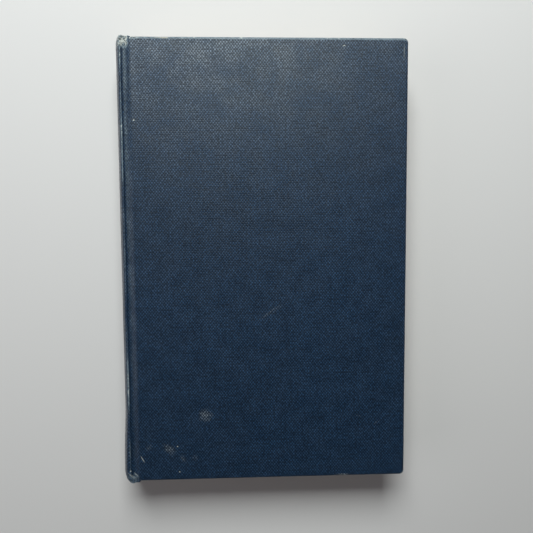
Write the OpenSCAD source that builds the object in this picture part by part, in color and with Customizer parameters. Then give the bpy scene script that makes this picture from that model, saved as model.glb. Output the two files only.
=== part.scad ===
// A case-bound hardback book, closed and lying on its back cover.
// The spine is at -X, the fore-edge at +X, the head at +Y, and the front cover is up.
// Sections are drawn in (u, v): u runs from the ridges of the spine towards the fore-edge,
// and v runs up from the middle of the book's thickness.

/* [Leaves] */
// Height of a trimmed leaf
leaf_height = 216; // [150:1:300]
// Width of a trimmed leaf, from its fold to its fore-edge
leaf_width = 138.5; // [100:0.5:220]
// Thickness of all the leaves together
leaves_thick = 22; // [12:0.5:45]
// Folded sections that the leaves are sewn in
sections = 20; // [6:1:40]
// Radius of the valley between two folded sections
fold_valley_r = 0.18; // [0.1:0.01:0.3]
// Thickness of an endpaper
paper_thick = 0.2; // [0.12:0.01:0.35]

/* [Boards] */
// Thickness of a board without its cloth
board_thick = 2.2; // [1.6:0.1:3.5]
// How far a cover stands past the leaves at the head and the tail
head_square = 3; // [2.4:0.1:6]
// How far a cover stands past the leaves at the fore-edge
fore_square = 3; // [2:0.1:6]
// Radius of a cover's corners at the fore-edge
corner_r = 2.2; // [1:0.1:5]
// Radius of a cover's edges
edge_r = 0.8; // [0.5:0.05:1.2]
// Radius of the edge that rises out of the joint
joint_edge_r = 2.1; // [0.8:0.05:2.2]

/* [Cloth] */
// Thickness of the cover cloth
cloth_thick = 0.35; // [0.25:0.01:0.45]
// How far the cloth is turned in over the inside of a board
turn_in = 15; // [12:0.5:20]
// Width of the slit where two turned-in edges meet at a corner
mitre_slit = 0.3; // [0.2:0.05:0.5]

/* [Spine and joints] */
// How far the rounded spine stands out past its ridges
spine_round = 4; // [2.5:0.1:6]
// Distance from the ridge of the spine to the edge of a cover
joint_width = 4.4; // [4:0.1:10]
// Radius of the hollow at the foot of the ridge
groove_r = 0.8; // [0.7:0.05:1.2]
// Slope of the ridge's side, in degrees
groove_slope = 65; // [55:1:75]
// How far the ridge stays below the face of the cover
ridge_drop = 0.1; // [0.05:0.01:0.4]
// Radius of the shoulder's edge, under the cloth of the ridge
shoulder_edge_r = 0.2; // [0.1:0.05:0.5]
// Thickness of the card inside the spine of the case
inlay_thick = 0.4; // [0.3:0.05:0.8]
// Margin of cloth between the card and each ridge
inlay_margin = 0.4; // [0.3:0.05:1]
// Thickness of the mull, the open cloth that is glued over the sewn folds
mull_thick = 0.35; // [0.2:0.01:0.45]
// Width of the mull that is glued to each board
flange_width = 25; // [15:0.5:40]
// Thickness of the paper that lines the mull
lining_thick = 0.2; // [0.15:0.01:0.4]
// How far the mull stops short of the turned-in cloth
mull_short = 1; // [0.5:0.1:4]
// How far the lining paper stops short of the mull
lining_short = 2; // [1:0.1:6]

/* [Headbands] */
// Diameter of the bead of a headband
bead_d = 1.9; // [1.4:0.1:2.2]
// Thickness of the tape that a headband is sewn to
tape_thick = 0.25; // [0.15:0.01:0.35]
// Space between the end of the tape and the mull
tape_gap = 1; // [0.5:0.1:3]

/* [Fits] */
// Thickness of the glue between two layers of the round spine
glue_thick = 0.04; // [0.03:0.01:0.08]
// Space between a flyleaf and the pastedown on the closed cover
shut_gap = 0.1; // [0.05:0.01:0.3]
// Space between the edge of a cover and the cloth of its joint
joint_clear = 0.3; // [0.2:0.05:0.5]
// Space between the turned-in cloth and the lining, in the hollow of the spine
hollow_play = 0.1; // [0.05:0.01:0.4]
// Space between a folded endpaper and the shoulder beside it
fold_play = 0.05; // [0.02:0.01:0.1]
// Space between a pastedown's step and the edges of the cloth and the mull under it
step_play = 0.3; // [0.1:0.05:0.6]

/* [Hidden] */
$fn = 96;
cloth_colour = [0.10, 0.15, 0.23];
leaf_colour = [0.86, 0.80, 0.67];
endpaper_colour = [0.89, 0.84, 0.73];
board_colour = [0.58, 0.54, 0.47];
mull_colour = [0.80, 0.76, 0.66];
lining_colour = [0.62, 0.48, 0.32];
band_colour = [0.72, 0.70, 0.64];
cut = 1; // how far a cutting shape runs past what it cuts
joint_steps = 10; // straight steps in each arc of the joint
spine_steps = 40; // straight steps in the arc of the spine
valley_faces = 24; // faces of a valley between two sections
cap_rounding = 1.2; // radius of a folded end of the cloth, in thicknesses of the cloth
cap_past_spine = 34; // degrees that the rounding of both ends runs past the spine
skin = 0.1; // how far the rounding of both ends stays outside the cloth of the spine

// Levels above the middle of the thickness, going out through the front cover
leaves_half = leaves_thick / 2;
flyleaf_top = leaves_half + paper_thick;
paste_v = flyleaf_top + shut_gap;
lap_v = paste_v + paper_thick;
lap_thick = max(cloth_thick, mull_thick);
board_v = lap_v + lap_thick;
face_v = board_v + board_thick;
top_v = face_v + cloth_thick;
ridge_v = top_v - ridge_drop;
groove_v = board_v + cloth_thick;

// Rounded spine: one centre, and a radius for each layer
ridge_r = cloth_thick + lap_thick + shoulder_edge_r;
ridge_centre_v = ridge_v - ridge_r;
past_ridge = spine_round - ridge_r;
ridge_orbit = (pow(ridge_centre_v, 2) + pow(past_ridge, 2)) / (2 * past_ridge);
spine_centre_u = ridge_orbit - past_ridge;
spine_angle = asin(ridge_centre_v / ridge_orbit);
spine_r = ridge_orbit + ridge_r;
pocket_out_r = spine_r - cloth_thick;
inlay_out_r = pocket_out_r - glue_thick;
inlay_in_r = inlay_out_r - inlay_thick;
pocket_in_r = inlay_in_r - glue_thick;
tuck_r = pocket_in_r - cloth_thick;
lining_r = tuck_r - hollow_play;
mull_r = lining_r - lining_thick - glue_thick;
fold_r = mull_r - mull_thick - glue_thick;
fold_angle = asin(leaves_half / fold_r);
pocket_angle = spine_angle - asin(inlay_margin / pocket_in_r);
inlay_angle = pocket_angle - asin(glue_thick / inlay_in_r);
cap_r = cloth_thick * cap_rounding;
cap_sector = spine_angle + cap_past_spine;

// Joint: the side of the ridge runs down into the groove
side_angle = 90 - groove_slope;
groove_centre_v = groove_v + groove_r;
ridge_above_groove = ridge_centre_v - groove_centre_v;
groove_centre_u = (ridge_above_groove * sin(side_angle) + ridge_r + groove_r) / cos(side_angle);
strip_end_u = joint_width - joint_clear;

// Outline seen from above
book_height = leaf_height + 2 * head_square;
leaf_edge_u = spine_centre_u - fold_r * cos(fold_angle) + leaf_width;
cover_end_u = leaf_edge_u + fore_square;
middle_u = (cover_end_u + spine_centre_u - spine_r) / 2;
mull_length = book_height - 2 * (turn_in + mull_short);
lining_length = mull_length - 2 * lining_short;
bead_r = bead_d / 2;
tape_length = turn_in + mull_short - head_square - tape_gap;

// Lines that the covers turn on: each runs along the spine, over its ridge
front_hinge = [-middle_u, 0, top_v + lap_v];
back_hinge = [-middle_u, 0, top_v - lap_v];

// Points of an arc round a centre, from one angle to another
function arc(centre, radius, from, to, steps = joint_steps) = [
    for (i = [0 : steps])
        let (angle = from + (to - from) * i / steps)
        centre + radius * [cos(angle), sin(angle)]
];

function reversed(points) = [for (i = [len(points) - 1 : -1 : 0]) points[i]];

function turned_over(points) = [for (point = points) [point.x, -point.y]];

function spine_arc(radius, half_angle) =
    arc([spine_centre_u, 0], radius, 180 + half_angle, 180 - half_angle, spine_steps);

// The front joint's section, at a depth below the face of the cloth: over the ridge,
// down its side, through the groove and on to an end near the edge of the cover
function joint_line(depth, end_u) = concat(
    arc([0, ridge_centre_v], ridge_r - depth, 180 - spine_angle, side_angle),
    arc([groove_centre_u, groove_centre_v], groove_r + depth, 180 + side_angle, 270),
    [[end_u, groove_v - depth]]
);

// The whole section from the back joint over the spine to the front joint
function case_line(depth, spine_points) = concat(
    reversed(turned_over(joint_line(depth, strip_end_u))),
    spine_points,
    joint_line(depth, strip_end_u)
);

// Cloth over the spine: its face, its back, and both sides of the layer that is turned in
face_line = case_line(0, spine_arc(spine_r, spine_angle));
back_line = case_line(cloth_thick, spine_arc(pocket_out_r, spine_angle));
tuck_out_line = case_line(cloth_thick, spine_arc(pocket_in_r, pocket_angle));
tuck_in_line = case_line(cloth_thick + lap_thick, spine_arc(tuck_r, spine_angle));

// Puts a section that is drawn in (u, v) along the spine
module along_spine(length) {
    rotate([90, 0, 0]) linear_extrude(height = length, center = true) children();
}

// Turns a profile, drawn as [radius, y], round the centre of the spine
module round_spine(half_angle) {
    translate([spine_centre_u, 0, 0]) rotate([90, 0, 0]) rotate([0, 0, 180 - half_angle])
        rotate_extrude(angle = 2 * half_angle) children();
}

// Sets the book on the table, with the middle of its outline over the origin
module placed() {
    translate([-middle_u, 0, top_v]) children();
}

module at_both_ends() {
    children();
    mirror([0, 1, 0]) children();
}

// A rectangle between two corners, with a radius for each of its four corners:
// at low x and low y, at high x and low y, at low x and high y, at high x and high y
module rounded(low, high, radii) {
    difference() {
        translate(low) square(high - low);
        for (x = [0, 1], y = [0, 1]) {
            r = radii[x + 2 * y];
            inward = [1 - 2 * x, 1 - 2 * y];
            corner = [x == 0 ? low.x : high.x, y == 0 ? low.y : high.y];
            if (r > 0)
                difference() {
                    translate(corner + inward * (r - cut) / 2) square(r + cut, center = true);
                    translate(corner + inward * r) circle(r);
                }
        }
    }
}

// A slab between two corners in (u, y, v), with round edges, but square along the joint's foot
module slab(low, high, edge, joint_edge, corner) {
    intersection() {
        translate([0, 0, low.z - cut]) linear_extrude(high.z - low.z + 2 * cut)
            rounded([low.x, low.y], [high.x, high.y], [0, corner, 0, corner]);
        along_spine(high.y - low.y + cut)
            rounded([low.x, low.z], [high.x, high.z], [0, edge, joint_edge, edge]);
        translate([low.x - cut, 0, 0]) rotate([90, 0, 90])
            linear_extrude(high.x - low.x + 2 * cut)
            rounded([low.y, low.z], [high.y, high.z], [edge, edge, edge, edge]);
    }
}

// A box between two corners in (u, y, v)
module block(low, high) {
    translate(low) cube(high - low);
}

// What lies inside the layers of the front joint, at a depth below the face of the cloth
module inside_joint(depth, end_u) {
    line = joint_line(depth, end_u);
    polygon(concat([[end_u, 0], [-spine_round, 0], [-spine_round, line[0].y]], line));
}

// The front half of the sewn block: what lies inside a radius of the spine and inside the joint
module block_half(radius, depth, end_u) {
    intersection() {
        translate([spine_centre_u, 0]) circle(radius);
        inside_joint(depth, end_u);
    }
}

// The leaves are sewn in folded sections. Their folds make the round spine, the outer
// folds bend out to shoulders, and the fore-edge is hollow by as much as the spine is round
module pages() {
    color(leaf_colour) placed() along_spine(leaf_height) difference() {
        union() {
            intersection() {
                translate([spine_centre_u, 0]) circle(fold_r);
                translate([-spine_round, -leaves_half]) square([spine_centre_u + spine_round, leaves_thick]);
            }
            difference() {
                translate([groove_centre_u, -leaves_half])
                    square([leaf_edge_u - groove_centre_u, leaves_thick]);
                translate([spine_centre_u + leaf_width, 0]) circle(fold_r);
            }
            for (side = [0, 1])
                mirror([0, side]) block_half(fold_r, cloth_thick + mull_thick, groove_centre_u);
        }
        for (i = [1 : sections - 1])
            translate([spine_centre_u, 0]) rotate(180 - fold_angle + 2 * fold_angle * i / sections)
                translate([fold_r, 0]) circle(fold_valley_r, $fn = valley_faces);
    }
}

// An endpaper's free leaf, with its fold at the shoulder and the strip that runs under
// the mull as far as the edge of the cover, where the pastedown goes on
module flyleaf() {
    fold_out_r = (lap_v - leaves_half) / 2;
    fold_in_r = shut_gap / 2;
    fold_centre = [groove_centre_u + fold_play + fold_out_r, leaves_half + fold_out_r];
    color(endpaper_colour) placed() along_spine(leaf_height) polygon(concat(
        [[leaf_edge_u, flyleaf_top], [leaf_edge_u, leaves_half]],
        arc(fold_centre, fold_out_r, 270, 90),
        [[strip_end_u, lap_v], [strip_end_u, paste_v]],
        arc(fold_centre, fold_in_r, 90, 270)
    ));
}

module front_flyleaf() { flyleaf(); }

module back_flyleaf() { back_of_book() flyleaf(); }

// Turns what is made for the front cover over to the back
module back_of_book() {
    translate([0, 0, top_v]) mirror([0, 0, 1]) translate([0, 0, -top_v]) children();
}

// A bead over the end of the folds, on a tape that is glued down over them
module band() {
    tape_r = fold_r + glue_thick;
    color(band_colour) placed() round_spine(fold_angle) union() {
        translate([tape_r, leaf_height / 2 - tape_length])
            square([tape_thick, tape_length + bead_r]);
        translate([tape_r + tape_thick - bead_r, leaf_height / 2 + bead_r]) circle(bead_r);
    }
}

module headband() { mirror([0, 1, 0]) band(); }

module tailband() { band(); }

// The mull covers the folds, turns over both shoulders and lies in both grooves
module spine_mull() {
    color(mull_colour) placed() along_spine(mull_length)
        for (side = [0, 1]) mirror([0, side]) difference() {
            block_half(mull_r, cloth_thick, strip_end_u);
            block_half(mull_r - mull_thick, cloth_thick + mull_thick, strip_end_u + cut);
        }
}

module spine_lining() {
    color(lining_colour) placed() round_spine(fold_angle)
        translate([lining_r - lining_thick, -lining_length / 2])
        square([lining_thick, lining_length]);
}

module spine_inlay() {
    color(board_colour) placed() round_spine(inlay_angle)
        translate([inlay_in_r, cloth_thick - book_height / 2])
        square([inlay_thick, book_height - 2 * cloth_thick]);
}

// A length of the book at its head and another at its tail
module at_ends(length) {
    for (side = [-1, 1]) translate([0, side * (book_height - length) / 2, 0])
        along_spine(length) children();
}

// The cloth over the spine and in both joints: one sheet, turned in over the card at its ends
module spine_cloth() {
    color(cloth_colour) placed() intersection() {
        union() {
            along_spine(book_height) polygon(concat(face_line, reversed(back_line)));
            at_ends(turn_in) polygon(concat(tuck_out_line, reversed(tuck_in_line)));
            at_ends(cloth_thick) polygon(concat(face_line, reversed(tuck_in_line)));
        }
        round_spine(cap_sector) rounded(
            [cut, -book_height / 2], [spine_r + skin, book_height / 2], [0, cap_r, 0, cap_r]
        );
    }
}

module board() {
    half = book_height / 2 - cloth_thick;
    color(board_colour) placed() slab(
        [joint_width + cloth_thick, -half, board_v],
        [cover_end_u - cloth_thick, half, face_v],
        edge_r - cloth_thick, joint_edge_r - cloth_thick, corner_r - cloth_thick
    );
}

// The cloth wraps the board's outer face and its edges, and is turned in on three sides
module cover_cloth() {
    half = book_height / 2;
    slit_start = edge_r + corner_r / 2;
    color(cloth_colour) difference() {
        placed() slab(
            [joint_width, -half, lap_v], [cover_end_u, half, top_v],
            edge_r, joint_edge_r, corner_r
        );
        board();
        placed() block(
            [joint_width - cut, turn_in - half, lap_v - cut],
            [cover_end_u - turn_in, half - turn_in, board_v]
        );
        placed() at_both_ends()
            translate([cover_end_u - slit_start, half - slit_start, lap_v - cut]) rotate([0, 0, 225])
            translate([0, -mitre_slit / 2, 0])
            cube([turn_in * sqrt(2), mitre_slit, cut + lap_thick]);
    }
}

module cover_mull() {
    color(mull_colour) placed() block(
        [joint_width, -mull_length / 2, board_v - mull_thick],
        [joint_width + flange_width, mull_length / 2, board_v]
    );
}

// The pasted leaf lies over the turned-in cloth and the mull, and steps up to the board between them
module pastedown() {
    low = [joint_width + flange_width + step_play, turn_in + step_play - book_height / 2];
    high = [cover_end_u - turn_in - step_play, book_height / 2 - turn_in - step_play];
    inset = [paper_thick, paper_thick];
    color(endpaper_colour) placed() difference() {
        union() {
            block([joint_width, -leaf_height / 2, paste_v], [leaf_edge_u, leaf_height / 2, lap_v]);
            block([low.x, low.y, paste_v], [high.x, high.y, board_v]);
        }
        translate([0, 0, -cut]) block(
            [low.x + inset.x, low.y + inset.y, paste_v],
            [high.x - inset.x, high.y - inset.y, board_v - paper_thick + cut]
        );
    }
}

module front_board() { board(); }

module front_cloth() { cover_cloth(); }

module front_mull() { cover_mull(); }

module front_pastedown() { pastedown(); }

module back_board() { back_of_book() board(); }

module back_cloth() { back_of_book() cover_cloth(); }

module back_mull() { back_of_book() cover_mull(); }

module back_pastedown() { back_of_book() pastedown(); }

pages();
front_flyleaf();
back_flyleaf();
headband();
tailband();
spine_mull();
spine_lining();
spine_inlay();
spine_cloth();
front_board();
front_cloth();
front_mull();
front_pastedown();
back_board();
back_cloth();
back_mull();
back_pastedown();
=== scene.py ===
import math

import bmesh
import bpy
import numpy as np
from mathutils import Euler, Matrix, Vector


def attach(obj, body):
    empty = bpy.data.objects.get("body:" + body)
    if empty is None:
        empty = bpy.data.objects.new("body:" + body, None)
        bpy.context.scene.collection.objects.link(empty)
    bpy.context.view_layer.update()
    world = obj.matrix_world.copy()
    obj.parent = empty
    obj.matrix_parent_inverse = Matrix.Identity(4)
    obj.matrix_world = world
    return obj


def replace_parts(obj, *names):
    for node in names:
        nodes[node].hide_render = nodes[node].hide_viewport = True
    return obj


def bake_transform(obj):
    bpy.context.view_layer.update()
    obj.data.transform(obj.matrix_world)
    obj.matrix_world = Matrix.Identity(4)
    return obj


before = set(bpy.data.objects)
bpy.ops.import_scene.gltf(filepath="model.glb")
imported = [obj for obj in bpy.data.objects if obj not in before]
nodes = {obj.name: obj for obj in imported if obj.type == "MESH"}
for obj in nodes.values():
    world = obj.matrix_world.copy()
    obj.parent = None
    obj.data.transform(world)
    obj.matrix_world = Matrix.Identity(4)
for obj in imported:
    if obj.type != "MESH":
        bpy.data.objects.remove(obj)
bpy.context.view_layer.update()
print("book: frame loaded with", len(nodes), "nodes")

# The book's own measures, as its solids have them, in millimetres. Sections are drawn in
# (u, v): u runs from the ridges of the spine to the fore-edge, v up from mid-thickness.
book = {
    "middleU": 68.7687,
    "topV": 14.4,
    "lapV": 11.5,
    "pasteV": 11.3,
    "boardV": 11.85,
    "flyleafTop": 11.2,
    "leavesHalf": 11.0,
    "grooveV": 12.2,
    "halfHeight": 111.0,
    "halfLeaf": 108.0,
    "leafEdgeU": 138.537,
    "coverEndU": 141.537,
    "jointWidth": 4.4,
    "spineCentreU": 27.4113,
    "spineR": 31.4113,
    "spineAngle": 26.0517,
    "mullR": 29.8913,
    "foldR": 29.5013,
    "foldAngle": 21.8924,
    "ridgeV": 13.4,
    "ridgeR": 0.9,
    "sideAngle": 25.0,
    "grooveU": 2.06227,
    "grooveCentreV": 13.0,
    "grooveR": 0.8,
    "turnIn": 15.0,
}
rng = np.random.default_rng(41)
mm = 0.001


def inPlace(points, side):
    # (u, y, v) in millimetres to the frame in metres; side is 1 for the front, -1 for the back
    p = np.asarray(points, float)
    placed = np.empty_like(p)
    placed[..., 0] = p[..., 0] - book["middleU"]
    placed[..., 1] = p[..., 1]
    placed[..., 2] = side * p[..., 2] + book["topV"]
    return placed * mm


def ramp(x, start, end):
    # 0 up to the start, then smoothly up to 1 at the end
    t = np.clip((x - start) / (end - start), 0, 1)
    return t * t * (3 - 2 * t)


def makeObject(name, points, faces, uv=None, flip=False):
    # points in metres; uv is one pair for each point, in metres along the unrolled sheet
    mesh = bpy.data.meshes.new(name)
    faces = [tuple(reversed(f)) for f in faces] if flip else faces
    mesh.from_pydata([tuple(p) for p in points], [], faces)
    if uv is not None:
        layer = mesh.uv_layers.new(name="cloth")
        corners = np.empty(len(mesh.loops), np.int32)
        mesh.loops.foreach_get("vertex_index", corners)
        layer.data.foreach_set("uv", np.asarray(uv, np.float32)[corners].ravel())
    mesh.polygons.foreach_set("use_smooth", [True] * len(mesh.polygons))
    obj = bpy.data.objects.new(name, mesh)
    bpy.context.scene.collection.objects.link(obj)
    return obj


def gridFaces(rows, columns, start=0, closed=False):
    # quads of a grid whose points are stored row by row
    faces = []
    for i in range(rows - 1):
        for j in range(columns if closed else columns - 1):
            a = start + i * columns + j
            b = start + i * columns + (j + 1) % columns
            faces.append((a, b, b + columns, a + columns))
    return faces


def endFaces(start, end, around):
    # the two faces that close a tube whose points run from start to end
    return [tuple(range(start, start + around))[::-1], tuple(range(end - around, end))]


def edit(obj, change):
    bm = bmesh.new()
    bm.from_mesh(obj.data)
    change(bm)
    bm.to_mesh(obj.data)
    bm.free()


def weld(bm, distance=2e-6):
    bmesh.ops.remove_doubles(bm, verts=bm.verts, dist=distance)
    bmesh.ops.dissolve_degenerate(bm, edges=bm.edges, dist=distance)
    loose = [v for v in bm.verts if not v.link_faces]
    bmesh.ops.delete(bm, geom=loose, context="VERTS")


def agreeFaces(bm):
    bmesh.ops.recalc_face_normals(bm, faces=bm.faces)


def thicken(obj, thickness, offset=-1.0):
    # gives a sheet its thickness, in millimetres, behind its face
    modifier = obj.modifiers.new("thickness", "SOLIDIFY")
    modifier.thickness = thickness * mm
    modifier.offset = offset
    modifier.use_even_offset = True
    modifier.use_quality_normals = True
    bpy.context.view_layer.update()
    shown = obj.evaluated_get(bpy.context.evaluated_depsgraph_get())
    solid = bpy.data.meshes.new_from_object(shown)
    obj.modifiers.clear()
    obj.data = solid
    return obj


def facesUp(obj, direction):
    # makes the faces agree, and turns them over if most of them look the other way
    edit(obj, agreeFaces)
    mesh = obj.data
    normals = np.empty(len(mesh.polygons) * 3)
    areas = np.empty(len(mesh.polygons))
    mesh.polygons.foreach_get("normal", normals)
    mesh.polygons.foreach_get("area", areas)
    if (normals.reshape(-1, 3) @ np.array(direction)) @ areas < 0:
        mesh.flip_normals()


def gridSheet(name, side, size, points, uvs, up, thickness, offset=-1.0):
    # a sheet of size (rows, columns); its points and uv pairs are in millimetres
    obj = makeObject(name, inPlace(points, side), gridFaces(*size), np.array(uvs) * mm)
    facesUp(obj, up)
    return thicken(obj, thickness, offset)


def bentSheet(name, side, line, ys, up, thickness, offset=-1.0):
    # a sheet with the same section, a line of (u, v) points, all along the book
    points, uvs, run = [], [], 0.0
    for here, before in zip(line, line[:1] + line):
        run += math.dist(here, before)
        points += [(here[0], y, here[1]) for y in ys]
        uvs += [(run, y) for y in ys]
    return gridSheet(name, side, (len(line), len(ys)), points, uvs, up, thickness, offset)


cover = {
    "edgeRound": 1.05,
    "cornerRound": 2.2,
    "jointCornerRound": 1.3,
    "lapRound": 0.8,
    "clothThick": 0.33,
    "cell": 1.6,
    "edgeLines": (0.0, 0.25, 0.6, 1.1, 1.9, 3.0),
    "jointLines": (5.6, 5.75, 5.9, 6.1),
    "lapLines": (1.2, 1.7, 2.2, 2.8, 3.6, 5.5, 8.5, 11.5),
    "wallLevels": (13.1, 12.7, 12.3),
    "jointWallLines": (0.9, 0.75, 0.6, 0.45, 0.3, 0.15, 0.0),
    "jointWallLevels": (13.4, 12.7),
    "mitreHalfSlit": 0.14,
    "slopeEnd": 5.25,
    "grooveFill": 1.15,
    "startDrop": 0.3,
    "startDropEnds": (4.5, 5.0),
    "unevenness": 0.05,
    "waveLengths": (17.0, 23.0, 7.3, 9.1),
    "unevenStart": (5.0, 8.0),
    "faceLevels": (12.4, 13.8),
}


def linesBetween(low, high):
    # grid lines over a cover: close together near its edges
    steps = cover["edgeRound"] + np.array(cover["edgeLines"])
    nearLow, nearHigh = low + steps, (high - steps)[::-1]
    count = int((nearHigh[0] - nearLow[-1]) / cover["cell"])
    middle = np.linspace(nearLow[-1], nearHigh[0], count + 1)[1:-1]
    return np.concatenate([nearLow, middle, nearHigh])


def jointSlope(u):
    # height of the cloth where it rises out of the joint's groove onto the cover
    low = book["grooveV"] + cover["grooveFill"]
    return low + (book["topV"] - low) * ramp(u, book["grooveU"], cover["slopeEnd"])


def surfaceUnevenness(p, hollows):
    # slow waves of the board's face, and the dents; it fades out on the underside
    u, y, v = p.T
    a, b, c, d = cover["waveLengths"]
    slow = np.sin(u / a + 0.6) * np.sin(y / b + 1.1) + 0.6 * np.sin(u / c + y / d)
    # the waves only go inwards, so the closed book lies flat on the table
    lift = cover["unevenness"] * (slow - 1.6) * ramp(u, *cover["unevenStart"])
    for dentX, dentY, radius, depth in hollows:
        far = np.hypot(u - book["middleU"] - dentX, y - dentY) / radius
        lift = lift - depth * np.exp(-far ** 2)
    return lift * ramp(v, *cover["faceLevels"])


def coverCloth(name, side, hollows):
    # One sheet over the board: its face, its rounded edges and the 15 mm turned in on three
    # sides. hollows are the dents: (x, y, radius, depth) in millimetres from the middle.
    r, big, small = cover["edgeRound"], cover["cornerRound"], cover["jointCornerRound"]
    top, lap, lapRound = book["topV"], book["lapV"], cover["lapRound"]
    low = np.array([book["jointWidth"], -book["halfHeight"]])
    high = np.array([book["coverEndU"], book["halfHeight"]])
    us = sorted(set(np.round(linesBetween(low[0], high[0]), 4)) | set(cover["jointLines"]))
    us, ys = np.array(us), linesBetween(low[1], high[1])

    def cornerOf(u, y):
        # the nearest corner's centre and radius where (u, y) is inside its square, or None
        foreEdge = u > book["middleU"]
        radius = big if foreEdge else small
        cu = high[0] - radius if foreEdge else low[0] + radius
        cy = math.copysign(high[1] - radius, y)
        inside = (u > cu if foreEdge else u < cu) and abs(y) > abs(cy)
        return (cu, cy, radius) if inside else None

    def rounded(u, y):
        # moves a point of the square corner's grid onto the round corner's
        found = cornerOf(u, y)
        if found is None:
            return u, y
        cu, cy = found[:2]
        a, b = abs(u - cu), abs(y - cy)
        reach = max(a, b)
        angle = (b / a) * math.pi / 4 if a >= b else math.pi / 2 - (a / b) * math.pi / 4
        return (cu + math.copysign(reach * math.cos(angle), u - cu),
                cy + math.copysign(reach * math.sin(angle), y - cy))

    points = [(*rounded(u, y), top) for y in ys for u in us]
    uvs = [(u, y) for y in ys for u in us]
    faces = gridFaces(len(ys), len(us))

    # the rings of the strips: distance in from the board's outline, height
    quarter = np.radians([18, 36, 54, 72, 90])
    outerRings = [(r * (1 - math.sin(a)), top - r * (1 - math.cos(a))) for a in quarter]
    outerRings += [(0.0, v) for v in cover["wallLevels"]]
    outerRings += [(lapRound * (1 - math.cos(a)), lap + lapRound * (1 - math.sin(a)))
                   for a in quarter]
    outerRings += [(d, lap) for d in (*cover["lapLines"], book["turnIn"])]
    jointRings = [(d, top) for d in cover["jointWallLines"]]
    jointRings += [(0.0, v) for v in (*cover["jointWallLevels"], book["grooveV"] - 0.05)]

    def strip(along, axis, outward, rings):
        # a strip that runs over one edge, from the face's last grid line outwards and down
        start = len(points)
        fixed = high[axis] if outward > 0 else low[axis]
        other = 1 - axis
        for a in along:
            arc, last = 0.0, (r, top)
            spot = [a, a]
            spot[axis] = fixed - outward * r
            found = cornerOf(*spot)
            for d, v in [(r, top)] + rings:
                arc += math.hypot(d - last[0], v - last[1])
                last = (d, v)
                spot = [a, a]
                spot[axis] = fixed - outward * d
                if found is not None:
                    centre, radius = found[other], found[2]
                    share = (a - centre) / (radius - r)
                    reach = radius - d
                    if reach > 0:
                        spot[other] = centre + share * reach
                        spot = list(rounded(*spot))
                    else:
                        spot[other] = centre + math.copysign(reach, share)
                if d > big - 1e-6:
                    slit = cover["mitreHalfSlit"]
                    lowEnd = low[1] + d + slit if other == 1 else low[0]
                    spot[other] = min(max(spot[other], lowEnd), high[other] - d - slit)
                points.append((*spot, v))
                uv = [a, a]
                uv[axis] = fixed - outward * r + outward * arc
                uvs.append(uv)
        quads = gridFaces(len(along), len(rings) + 1, start)
        flips = (axis == 0) == (outward > 0)
        return [tuple(reversed(q)) for q in quads] if flips else quads

    faces += strip(ys, 0, 1, outerRings)
    faces += strip(us, 1, 1, outerRings)
    faces += strip(us, 1, -1, outerRings)
    faces += strip(ys, 0, -1, jointRings)

    p = np.array(points)
    drop = cover["startDrop"] * (1 - ramp(p[:, 0], *cover["startDropEnds"]))
    fall = top - jointSlope(p[:, 0]) + drop
    p[:, 2] -= fall * np.clip((p[:, 2] - book["grooveV"]) / (top - book["grooveV"]), 0, 1)
    p[:, 2] += surfaceUnevenness(p, hollows)
    obj = makeObject(name, inPlace(p, side), faces, np.array(uvs) * (mm * side, mm), side < 0)
    edit(obj, weld)
    facesUp(obj, (0, 0, side))
    return thicken(obj, cover["clothThick"])


frontDents = [(-51.0, 110.5, 6.0, 0.22), (-31.4, -76.5, 5.0, 0.06), (-46.0, 110.8, 2.5, 0.15),
              (70.6, 103.0, 3.0, 0.12), (38.0, -110.9, 4.0, 0.12), (62.0, 111.0, 3.0, 0.1),
              (71.0, 20.0, 5.0, 0.08), (71.2, -60.0, 7.0, 0.1)]
backDents = [(30.0, 111.0, 5.0, 0.1), (71.0, -40.0, 6.0, 0.1)]
frontCloth = coverCloth("front_cover_cloth", 1, frontDents)
backCloth = coverCloth("back_cover_cloth", -1, backDents)
for piece, node, body in ((frontCloth, "front_cloth", "front_cover"),
                          (backCloth, "back_cloth", "back_cover")):
    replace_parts(piece, node)
    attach(piece, body)
print("book: covers wrapped in cloth")

joint = {
    "clothThick": 0.3,
    "foldDepthSpine": 1.18,
    "foldDepthJoint": 0.7,
    "cell": 2.0,
    "footLines": (2.4, 2.75, 3.1, 3.45, 3.8, 4.15, 4.5, 4.85, 5.2),
    "footEnd": 5.35,
    "footDrop": 0.12,
    "footDropEnds": (4.85, 5.25),
    "plainShort": 7.0,
    "capStart": 5.6,
    "capEndU": (3.0, 5.3),
    "capRise": (1.0, 0.6),
    "capPinch": (1.8, 0.9),
    "capPuff": (0.85, 0.45),
    "capPuffTop": 13.75,
    "capLength": 4.5,
    "tailBulge": 1.0,
    "tailBulgeY": (72.0, 102.0),
    "tailBulgeU": (-1.2, 0.4),
    "crumple": (0.16, 0.22, 0.1),
    "blendStart": 1.1,
    "blendEnd": 3.3,
}


def sectionLine():
    # the section from mid-spine to the foot of the board, as (part, angle or u) steps
    spine, side = book["spineAngle"], book["sideAngle"]
    line = [("spine", 180 - a) for a in np.linspace(0, spine, 24)]
    line += [("ridge", a) for a in np.linspace(180 - spine, side, 16)[1:]]
    line += [("groove", a) for a in np.linspace(180 + side, 270, 9)]
    return line + [("foot", u) for u in (*joint["footLines"], joint["footEnd"])]


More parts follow.
